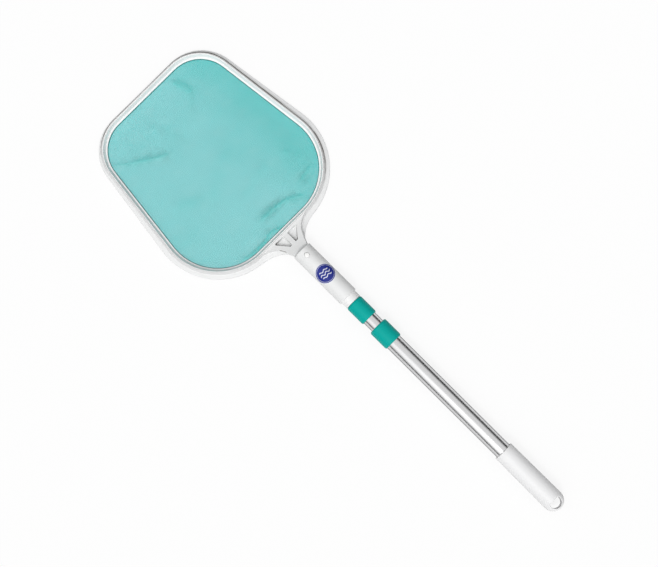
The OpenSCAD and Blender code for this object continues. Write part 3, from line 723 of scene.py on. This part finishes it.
def weave_tree():
    """Geometry Nodes: straight tapes both ways, dropped on the sheet and cut off at its edge."""
    tree = bpy.data.node_groups.new("net_weave", "GeometryNodeTree")
    face = tree.interface
    face.new_socket("Geometry", in_out="INPUT", socket_type="NodeSocketGeometry")
    for label, value in (
        ("Pitch", 0.001), ("Tape Width", 0.0006), ("Tape Thickness", 0.00014), ("Fine Step", 0.0026),
        ("Layer Gap", 0.00016),
    ):
        face.new_socket(label, in_out="INPUT", socket_type="NodeSocketFloat").default_value = value
    for label, value in (("Threads", 290), ("Points", 116), ("Coarse Every", 4)):
        face.new_socket(label, in_out="INPUT", socket_type="NodeSocketInt").default_value = value
    face.new_socket("Centre", in_out="INPUT", socket_type="NodeSocketVector")
    face.new_socket("Material", in_out="INPUT", socket_type="NodeSocketMaterial")
    face.new_socket("Geometry", in_out="OUTPUT", socket_type="NodeSocketGeometry")
    new, link = tree.nodes.new, tree.links.new
    given = new("NodeGroupInput").outputs
    calc = calculator(new, link)

    def vector_of(x=None, y=None, z=None):
        node = new("ShaderNodeCombineXYZ")
        for socket, value in zip(node.inputs, (x, y, z)):
            if isinstance(value, (int, float)):
                socket.default_value = value
            elif value is not None:
                link(value, socket)
        return node.outputs[0]

    def add(a, b):
        node = new("ShaderNodeVectorMath")
        node.operation = "ADD"
        link(a, node.inputs[0])
        link(b, node.inputs[1])
        return node.outputs[0]

    def look_down(start, wanted):
        """What lies below a point of the thread, with one value of the sheet there."""
        ray_down = new("GeometryNodeRaycast")
        ray_down.data_type = "FLOAT"
        link(given["Geometry"], ray_down.inputs["Target Geometry"])
        value = new("GeometryNodeInputNamedAttribute")
        value.data_type = "FLOAT"
        value.inputs["Name"].default_value = wanted
        asked = [s for s in ray_down.inputs if s.name == "Attribute" and s.enabled][0]
        link(value.outputs["Attribute"], asked)
        link(start, ray_down.inputs["Source Position"])
        ray_down.inputs["Ray Direction"].default_value = (0, 0, -1)
        ray_down.inputs["Ray Length"].default_value = 0.05
        return ray_down, [s for s in ray_down.outputs if s.name == "Attribute" and s.enabled][0]

    joined = new("GeometryNodeJoinGeometry")
    half_width = calc("MULTIPLY", calc("SUBTRACT", given["Threads"], 1), -0.5)
    first = calc("MULTIPLY", half_width, given["Pitch"])
    length = calc("MULTIPLY", calc("SUBTRACT", given["Points"], 1), given["Fine Step"])
    begin = calc("MULTIPLY", length, -0.5)
    finish = calc("MULTIPLY", begin, -1)
    for lengthways in (True, False):
        rack = new("GeometryNodeMeshLine")
        link(given["Threads"], rack.inputs["Count"])
        thread = new("GeometryNodeCurvePrimitiveLine")
        if lengthways:
            link(add(given["Centre"], vector_of(first, 0.0)), rack.inputs["Start Location"])
            link(vector_of(given["Pitch"]), rack.inputs["Offset"])
            link(vector_of(0.0, begin), thread.inputs["Start"])
            link(vector_of(0.0, finish), thread.inputs["End"])
        else:
            link(add(given["Centre"], vector_of(0.0, first)), rack.inputs["Start Location"])
            link(vector_of(0.0, given["Pitch"]), rack.inputs["Offset"])
            link(vector_of(begin), thread.inputs["Start"])
            link(vector_of(finish), thread.inputs["End"])
        stretch = new("GeometryNodeResampleCurve")
        link(thread.outputs[0], stretch.inputs["Curve"])
        link(given["Points"], stretch.inputs["Count"])
        copies = new("GeometryNodeInstanceOnPoints")
        link(rack.outputs[0], copies.inputs["Points"])
        link(stretch.outputs[0], copies.inputs["Instance"])
        real = new("GeometryNodeRealizeInstances")
        link(copies.outputs[0], real.inputs[0])
        where = new("GeometryNodeInputPosition")
        above = add(where.outputs[0], vector_of(0.0, 0.0, 0.02))
        down, bends = look_down(above, "fine")
        # the painted fold shade under this point of the thread
        painted_fold_shade = look_down(above, "closed")[1]
        drop = new("GeometryNodeSetPosition")
        side = 0.5 if lengthways else -0.5
        lift = vector_of(0.0, 0.0, calc("MULTIPLY", given["Layer Gap"], side))
        link(add(down.outputs["Hit Position"], lift), drop.inputs["Position"])
        # the drop moves the points, so what the ray found is kept on them first
        keep = new("GeometryNodeStoreNamedAttribute")
        keep.data_type, keep.domain = "FLOAT", "POINT"
        keep.inputs["Name"].default_value = "keep"
        counted = new("GeometryNodeSplineParameter")
        every = calc("MODULO", counted.outputs["Index"], given["Coarse Every"])
        coarse = calc("LESS_THAN", every, 0.5)
        wanted = calc("MAXIMUM", coarse, calc("GREATER_THAN", bends, 0.4))
        link(calc("MULTIPLY", wanted, down.outputs["Is Hit"]), keep.inputs["Value"])
        link(real.outputs[0], keep.inputs["Geometry"])
        shade = new("GeometryNodeStoreNamedAttribute")
        shade.data_type, shade.domain = "FLOAT", "POINT"
        shade.inputs["Name"].default_value = "shade"
        link(painted_fold_shade, shade.inputs["Value"])
        link(keep.outputs[0], shade.inputs["Geometry"])
        link(shade.outputs[0], drop.inputs["Geometry"])
        held = new("GeometryNodeInputNamedAttribute")
        held.data_type = "FLOAT"
        held.inputs["Name"].default_value = "keep"
        trim = new("GeometryNodeDeleteGeometry")
        trim.domain = "POINT"
        link(drop.outputs[0], trim.inputs["Geometry"])
        link(calc("LESS_THAN", held.outputs["Attribute"], 0.5), trim.inputs["Selection"])
        level = new("GeometryNodeSetCurveNormal")
        level.mode = "Z_UP"
        link(trim.outputs[0], level.inputs[0])
        section = new("GeometryNodeCurvePrimitiveQuadrilateral")
        link(given["Tape Width"], section.inputs["Width"])
        link(given["Tape Thickness"], section.inputs["Height"])
        tape = new("GeometryNodeCurveToMesh")
        tape.inputs["Fill Caps"].default_value = True
        link(level.outputs[0], tape.inputs["Curve"])
        link(section.outputs[0], tape.inputs["Profile Curve"])
        link(tape.outputs[0], joined.inputs[0])
    last = new("GeometryNodeRealizeInstances")
    link(joined.outputs[0], last.inputs[0])
    paint = new("GeometryNodeSetMaterial")
    link(last.outputs[0], paint.inputs["Geometry"])
    link(given["Material"], paint.inputs["Material"])
    link(paint.outputs[0], new("NodeGroupOutput").inputs[0])
    return tree


def woven_nylon(name):
    """Turquoise nylon with a soft sheen: painted shade deepens it towards +X and in the folds, and blotches
    vary its dye.
    """
    made = Finish(name)
    made.shader["Roughness"].default_value = 0.55
    made.shader["Sheen Weight"].default_value = 0.25
    made.shader["Sheen Roughness"].default_value = 0.4
    calc = calculator(made.new, made.link)
    split = made.new("ShaderNodeSeparateXYZ")
    made.link(made.place, split.inputs[0])
    # painted shade: the net turns deeper towards +X
    painted_side_shade = made.new("ShaderNodeMapRange")
    painted_side_shade.interpolation_type = "SMOOTHSTEP"
    painted_side_shade.inputs["From Min"].default_value, painted_side_shade.inputs["From Max"].default_value = 0.0, 0.125
    made.link(split.outputs["X"], painted_side_shade.inputs["Value"])
    blotch = calc("MULTIPLY", calc("SUBTRACT", made.noise(made.place, 11, 3), 0.5), 1.3)
    # painted side shade, random blotches of dye and painted fold shade, added together
    depth = calc("ADD", calc("ADD", painted_side_shade.outputs["Result"], blotch), made.marked("shade"))
    made.link(made.tones(depth, (0.125, 0.580, 0.590), (0.018, 0.500, 0.490)), made.shader["Base Color"])
    made.grain(made.noise(made.place, 3000), 0.00003)
    return made.material


net = slack_sheet()
weave = net.modifiers.new("weave", "NODES")
weave.node_group = weave_tree()
sockets = weave.node_group.interface.items_tree
settings = {item.name: item.identifier for item in sockets if item.in_out == "INPUT"}
weave[settings["Centre"]] = (0.0, ((OPENING_Y + OPENING_END) / 2 - SKIMMER_L / 2) * MM, 0.0)
nylon = woven_nylon("net_nylon")
weave[settings["Material"]] = nylon
fixed(net)

# The hem: the weave is welded shut in a thin line along the ring; its dark teal also paints the ring's shadow
# on the net
HEM_IN, HEM_OUT, HEM_LOW, HEM_HIGH = -1.15, RING_IN - 0.05, 2.5, 3.1
HEM_CORNERS = (HEM_IN, HEM_LOW), (HEM_IN, HEM_HIGH), (HEM_OUT, HEM_HIGH), (HEM_OUT, HEM_LOW)
hem = swept_loop(
    "net_hem",
    [
        [np.array((*(b + d * n), z)) for d, z in HEM_CORNERS]
        for b, n, _ in stations_round(rear_fine=0, corner_steps=24, straight_steps=10)
    ],
)
both = bmesh.new()
both.from_mesh(net.data)
threads = len(both.faces)
both.from_mesh(hem.data)
both.to_mesh(net.data)
both.free()
bpy.data.objects.remove(hem)
dress(net, nylon, "head_section", "net")
# partly the weld's colour, partly painted shadow at the ring's inner edge
net.data.materials.append(moulded_plastic("hem_weld_and_shade", (0.008, 0.17, 0.16), 0.5, 0.1))
for welded in list(net.data.polygons)[threads:]:
    welded.material_index = 1

# ---------------------------------------------------------------------------------------------------------
# LABEL
# Round printed vinyl film, dark blue with a fine pale ring and three waves. It is stuck on the socket's
# round wall, and keeps its drawing shape under the print.
# ---------------------------------------------------------------------------------------------------------
LABEL_Y, FINE_RING_R, BORDER_R, WAVES_R = 463.8, 12.4, 13.75, 9.0
NAVY, PALE_INK = (0.012, 0.022, 0.215), (0.78, 0.80, 0.88)


def printed_film(name):
    """Vinyl printed in navy; the pale ring, border and waves are drawn in millimetres from its middle."""
    made = Finish(name)
    made.shader["Roughness"].default_value = 0.3
    made.shader["Specular IOR Level"].default_value = 0.3
    centre = made.new("ShaderNodeMapping")
    centre.inputs["Location"].default_value = (0, -(LABEL_Y - SKIMMER_L / 2), 0)
    centre.inputs["Scale"].default_value = (1 / MM, 1 / MM, 1 / MM)
    made.link(made.place, centre.inputs["Vector"])
    split = made.new("ShaderNodeSeparateXYZ")
    made.link(centre.outputs["Vector"], split.inputs[0])
    calc = calculator(made.new, made.link)
    x, y = split.outputs["X"], split.outputs["Y"]
    radius = calc("SQRT", calc("ADD", calc("MULTIPLY", x, x), calc("MULTIPLY", y, y)))
    ring_off = calc("ABSOLUTE", calc("SUBTRACT", radius, FINE_RING_R))
    fine_ring = calc("SUBTRACT", 1.0, calc("MULTIPLY", ring_off, 3.2))
    border = calc("MULTIPLY", calc("SUBTRACT", radius, BORDER_R), 6.0)
    ink = calc("MAXIMUM", calc("MAXIMUM", fine_ring, border), 0.0)
    for row, high in ((-4.2, 0.9), (0.2, 1.2), (4.6, 0.9)):
        wave = calc("MULTIPLY", calc("SINE", calc("MULTIPLY", x, 0.78)), high)
        off = calc("ABSOLUTE", calc("SUBTRACT", calc("SUBTRACT", y, wave), row))
        stroke = calc("SUBTRACT", 1.35, calc("MULTIPLY", off, 1.5))
        ink = calc("MAXIMUM", ink, calc("MINIMUM", stroke, calc("SUBTRACT", WAVES_R, radius)))
    clear = made.new("ShaderNodeClamp")
    made.link(ink, clear.inputs["Value"])
    made.link(made.blend(clear.outputs["Result"], NAVY, PALE_INK), made.shader["Base Color"])
    return made.material


def repaint(node, material):
    """Gives a node that keeps its own shape a better finish."""
    kept = bpy.data.objects[node]
    kept.data.materials.clear()
    kept.data.materials.append(material)


repaint("label", printed_film("label_print"))

# ---------------------------------------------------------------------------------------------------------
# SNAP BUTTON AND ADAPTER
# The white nylon adapter is the pole's end, and slides into the socket. Its moulded button is pushed up by
# the spring strip behind it, and clicks into the hole in the socket's wall.
# ---------------------------------------------------------------------------------------------------------
button = upright(
    "snap_stud",
    [
        (21.56, 5.0), (22.76, 5.0), (22.76, SNAP_R), (30.3, SNAP_R), (30.9, SNAP_R - 0.2),
        (31.4, SNAP_R - 0.75), (31.68, SNAP_R - 1.6), (31.75, SNAP_R - 2.7),
    ],
)
button_white = moulded_plastic("button_white", (0.82, 0.82, 0.81), 0.28)
dress(button, button_white, "snap_button", "snap_button")

# Adapter: a plug in the socket, bored for the inner tube as far as INNER_TOP
ADAPTER_Y, ADAPTER_END, ADAPTER_R, ADAPTER_TUBE_R, ADAPTER_BORE_R = 407.8, 508.3, 12.95, 9.55, 8.9
INNER_TOP = 478.3
adapter = turned(
    "pole_end",
    softened(
        [
            (ADAPTER_Y, ADAPTER_R), (ADAPTER_END, ADAPTER_R), (ADAPTER_END, ADAPTER_BORE_R),
            (INNER_TOP, ADAPTER_BORE_R), (INNER_TOP, ADAPTER_TUBE_R), (ADAPTER_Y, ADAPTER_TUBE_R),
        ],
        [0.8, 0.8, 0.3, 0, 0, 0.3],
    ),
)
cut_with(adapter, [upright("button_tool", [(20, SNAP_R + 0.1), (32, SNAP_R + 0.1)])])
finish_edges(adapter)
adapter_white = moulded_plastic("adapter_white", (0.77, 0.77, 0.77), 0.38, gloss=0.35)
dress(adapter, adapter_white, "head_section", "pole_adapter")

# ---------------------------------------------------------------------------------------------------------
# POLE TUBES
# Three drawn aluminium tubes, 25, 22 and 19 mm across, that slide into each other. They are satin anodised,
# and their draw lines run along the pole.
# ---------------------------------------------------------------------------------------------------------


def drawn_aluminium(name):
    """Satin anodised metal: fine lines along the pole, and a darker film where it is seen at a slant."""
    made = Finish(name)
    made.shader["Metallic"].default_value = 1.0
    made.shader["Specular Tint"].default_value = (0.04, 0.04, 0.04, 1)
    stretch = made.new("ShaderNodeMapping")
    stretch.inputs["Scale"].default_value = (900, 6, 900)
    made.link(made.place, stretch.inputs["Vector"])
    lines = made.noise(stretch.outputs["Vector"], 1.0, 3)
    made.link(made.tones(lines, (0.66, 0.66, 0.665), (0.74, 0.74, 0.745)), made.shader["Base Color"])
    made.shine(lines, 0.20, 0.26)
    made.grain(lines, 0.000002, 0.4)
    return made.material


TUBE_WALL, TUBE_Y = 1.1, 19.8
aluminium = drawn_aluminium("tube_metal")
for name, node, body, low_y, high_y, r in (
    ("pole_outer", "outer_tube", "outer_section", TUBE_Y, 351.95, 12.5),
    ("pole_middle", "middle_tube", "middle_section", 66.8, 399.45, 11.0),
    ("pole_inner", "inner_tube", "head_section", 119.8, INNER_TOP, 9.5),
):
    tube = turned(
        name,
        softened([(low_y, r), (high_y, r), (high_y, r - TUBE_WALL), (low_y, r - TUBE_WALL)], [0.25] * 4),
    )
    dress(tube, aluminium, body, node)

# ---------------------------------------------------------------------------------------------------------
# COLLARS
# Two teal moulded collars, pressed on the ends of the outer and middle tubes. The narrow bore at the far end
# of each guides the next tube.
# ---------------------------------------------------------------------------------------------------------
teal = moulded_plastic("collar_teal", (0.001, 0.35, 0.31), 0.42, 0.05, gloss=0.1)
COLLAR_CHAMFER, COLLAR_CHAMFER_T, GUIDE_L = 1.8, 1.25, 8.0
for name, node, body, y, length, r, tube_r, guide_r in (
    ("collar_low", "lower_collar", "outer_section", 328.0, 32.0, 14.8, 12.55, 11.1),
    ("collar_high", "upper_collar", "middle_section", 376.0, 31.5, 13.35, 11.05, 9.6),
):
    low, end = r - COLLAR_CHAMFER_T, y + length
    collar = turned(
        name,
        softened(
            [
                (y, low), (y + COLLAR_CHAMFER, r), (end - COLLAR_CHAMFER, r), (end, low),
                (end, guide_r), (end - GUIDE_L, guide_r), (end - GUIDE_L, tube_r), (y, tube_r),
            ],
            [0.3, 0.7, 0.7, 0.3, 0.3, 0, 0, 0.3],
        ),
    )
    dress(collar, teal, body, node)

# ---------------------------------------------------------------------------------------------------------
# GRIP
# White moulded grip, pushed on the outer tube as far as its closed end. The round end has a D-shaped hole
# with soft lips to hang the skimmer by.
# ---------------------------------------------------------------------------------------------------------
GRIP_END_R, GRIP_MOUTH_R, GRIP_BORE_R, GRIP_L = 15.7, 15.15, 12.55, 112.0
# Hanging hole: radius of its round side, distance from the grip's tip, and length along the pole
HANG_R, HANG_RIM, HANG_L = 8.8, 3.2, 12.6
ball = [
    (GRIP_END_R - GRIP_END_R * math.cos(a), GRIP_END_R * math.sin(a)) for a in np.linspace(0, math.pi / 2, 25)
]
body_line = [
    (y, GRIP_END_R + (GRIP_MOUTH_R - GRIP_END_R) * (y - GRIP_END_R) / (GRIP_L - 1 - GRIP_END_R))
    for y in np.linspace(GRIP_END_R, GRIP_L - 1, 12)[1:-1]
]
mouth = rounded((GRIP_L - 4, GRIP_MOUTH_R), (GRIP_L, GRIP_MOUTH_R), (GRIP_L, GRIP_BORE_R), 1.0)
bore = [(GRIP_L, GRIP_BORE_R + 0.3), (GRIP_L - 0.3, GRIP_BORE_R), (TUBE_Y, GRIP_BORE_R), (TUBE_Y, 0.0)]
grip = turned("hand_grip", ball + body_line + mouth + bore)


def hang_outline(grow):
    """The D of the hanging hole, round towards the tip and straight towards the tube, grown outwards."""
    r, flat_y = HANG_R + grow, HANG_RIM + HANG_L + grow
    a0 = math.asin((flat_y - HANG_RIM - HANG_R) / r)
    around = np.linspace(math.pi - a0, 2 * math.pi + a0, 49)
    arc = [(r * math.cos(a), HANG_RIM + HANG_R + r * math.sin(a)) for a in around]
    first, last = np.array(arc[0]), np.array(arc[-1])
    return arc + [tuple(last * (1 - t) + first * t) for t in np.linspace(0, 1, 13)[1:-1]]


def hang_tool():
    """Cuts the hole and flares it softly at the grip's skin, above and below."""
    def skin(x, y):
        r = GRIP_END_R
        return math.sqrt(max(4.0, r * r - x * x - min(0.0, y - r) ** 2))

    levels, far = [(2.4, 1.4), (0.9, 0.15), (0.45, -0.25), (0.15, -0.8), (0.0, -1.6)], 25.0
    rings = [[(x, y, POLE_Z - far) for x, y in hang_outline(levels[0][0])]]
    rings += [[(x, y, POLE_Z - skin(x, y) - up) for x, y in hang_outline(g)] for g, up in levels]
    rings += [[(x, y, POLE_Z + skin(x, y) + up) for x, y in hang_outline(g)] for g, up in reversed(levels)]
    rings += [[(x, y, POLE_Z + far) for x, y in hang_outline(levels[0][0])]]
    return plugged("hang_tool", rings)


cut_with(grip, [hang_tool()])
finish_edges(grip)
grip_white = moulded_plastic("grip_white", (0.76, 0.76, 0.765), 0.4, gloss=0.35)
dress(grip, grip_white, "outer_section", "grip")

# ---------------------------------------------------------------------------------------------------------
# TWIST LOCKS AND SPRING
# Inside the pole: glass-filled nylon plugs and cones, natural nylon sleeves, zinc-plated screws, and the
# bent spring strip behind the button. They keep their drawing shapes.
# ---------------------------------------------------------------------------------------------------------


def plated_steel(name, colour, roughness):
    """Steel with a satin plated skin."""
    made = moulded_plastic(name, colour, roughness, 0.08)
    made.node_tree.nodes["Principled BSDF"].inputs["Metallic"].default_value = 1.0
    return made


dark_nylon = moulded_plastic("lock_dark", (0.030, 0.030, 0.033), 0.5, 0.15)
pale_nylon = moulded_plastic("lock_pale", (0.72, 0.69, 0.60), 0.45, 0.06)
zinc = plated_steel("screw_zinc", (0.62, 0.63, 0.64), 0.32)
for lock in ("upper_lock", "lower_lock"):
    repaint(lock + "_plug", dark_nylon)
    repaint(lock + "_cone", dark_nylon)
    repaint(lock + "_sleeve", pale_nylon)
    repaint(lock + "_screw", zinc)
repaint("snap_spring", plated_steel("spring_steel", (0.55, 0.56, 0.58), 0.25))

# ---------------------------------------------------------------------------------------------------------
# FLOOR, LIGHT AND CAMERA
# A seamless white table under plain soft light from the grip's left. The camera looks at it from almost
# straight above.
# ---------------------------------------------------------------------------------------------------------
# Light on the open table, in units where 1 shows a colour as it is written
TABLE_LIGHT = 1.13


def white_table():
    """White paper: the camera sees it evenly bright with a faint shadow, and the metal mirrors it."""
    size = 6.0
    mesh = bpy.data.meshes.new("table")
    corners = [(-size, -size, 0), (size, -size, 0), (size, size, 0), (-size, size, 0)]
    mesh.from_pydata(corners, [], [(0, 1, 2, 3)])
    made = bpy.data.objects.new("table", mesh)
    bpy.context.scene.collection.objects.link(made)
    # a hair below the floor, so that the rim's underside doesn't lie in it
    made.location.z = -0.0002
    paper = bpy.data.materials.new("table_paper")
    paper.use_nodes = True
    nodes, links = paper.node_tree.nodes, paper.node_tree.links
    nodes.clear()
    out = nodes.new("ShaderNodeOutputMaterial")
    path = nodes.new("ShaderNodeLightPath")
    seen = nodes.new("ShaderNodeMath")
    seen.operation = "MAXIMUM"
    links.new(path.outputs["Is Camera Ray"], seen.inputs[0])
    links.new(path.outputs["Is Transmission Ray"], seen.inputs[1])

    def lit_white(level, share):
        """Paper of an even level under this light; the share of it that comes from the lamps takes shadow."""
        matt = nodes.new("ShaderNodeBsdfDiffuse")
        matt.inputs["Color"].default_value = [level * share / TABLE_LIGHT] * 3 + [1]
        glow = nodes.new("ShaderNodeEmission")
        glow.inputs["Strength"].default_value = level * (1 - share)
        both = nodes.new("ShaderNodeAddShader")
        links.new(matt.outputs[0], both.inputs[0])
        links.new(glow.outputs[0], both.inputs[1])
        return both.outputs[0]

    def pick(factor, other, chosen):
        """The chosen shader where the factor is 1, the other one elsewhere."""
        mix = nodes.new("ShaderNodeMixShader")
        links.new(factor, mix.inputs[0])
        links.new(other, mix.inputs[1])
        links.new(chosen, mix.inputs[2])
        return mix.outputs[0]

    matt_only = nodes.new("ShaderNodeBsdfDiffuse")
    matt_only.inputs["Color"].default_value = (0.6, 0.6, 0.6, 1)
    shown = pick(path.outputs["Is Glossy Ray"], matt_only.outputs[0], lit_white(0.98, 1.0))
    links.new(pick(seen.outputs[0], shown, lit_white(0.985, 0.14)), out.inputs[0])
    mesh.materials.append(paper)
    return made


white_table()

scene = bpy.context.scene
room = bpy.data.worlds.new("room")
scene.world = room
room.use_nodes = True
sky, wires = room.node_tree.nodes, room.node_tree.links
sky["Background"].inputs["Color"].default_value = (1, 1, 1, 1)
way = sky.new("ShaderNodeTexCoord")


def sky_light(towards, start, full, low, high):
    """Light from one direction: low where the sky turns away from it, high where it faces it."""
    facing = sky.new("ShaderNodeVectorMath")
    facing.operation = "DOT_PRODUCT"
    facing.inputs[1].default_value = towards
    wires.new(way.outputs["Generated"], facing.inputs[0])
    light = sky.new("ShaderNodeMapRange")
    light.interpolation_type = "SMOOTHSTEP"
    light.inputs["From Min"].default_value, light.inputs["From Max"].default_value = start, full
    light.inputs["To Min"].default_value, light.inputs["To Max"].default_value = low, high
    wires.new(facing.outputs["Value"], light.inputs["Value"])
    return light.outputs["Result"]


# The wide light overhead, and a softer panel low on the grip's left
overhead = sky_light((-0.14, -0.10, 0.985), 0.26, 0.64, 0.05, 0.90)
panel = sky_light((-0.52, -0.30, 0.80), 0.78, 0.93, 0.0, 0.45)
wires.new(calculator(sky.new, wires.new)("ADD", overhead, panel), sky["Background"].inputs["Strength"])

key = bpy.data.objects.new("key", bpy.data.lights.new("key", "SUN"))
scene.collection.objects.link(key)
key.data.energy = 1.3
key.data.angle = math.radians(16)
key.rotation_mode = "QUATERNION"
key.rotation_quaternion = Vector((-0.47, -0.43, 1.0)).to_track_quat("Z", "Y")

camera = bpy.data.objects.new("camera", bpy.data.cameras.new("camera"))
scene.collection.objects.link(camera)
scene.camera = camera
camera.data.sensor_width = 36
camera.data.lens = 78.95
camera.data.clip_start, camera.data.clip_end = 0.05, 20
# The camera's directions in the frame
right = Vector((0.70717, -0.70655, -0.02629))
down = Vector((-0.70553, -0.70275, -0.09146))
ahead = Vector((0.04615, 0.08323, -0.99546))
camera.matrix_world = Matrix.Translation((-0.1004, -0.1406, 2.0546)) @ Matrix(
    (right, -down, -ahead)
).transposed().to_4x4()

scene.view_settings.view_transform = "Standard"
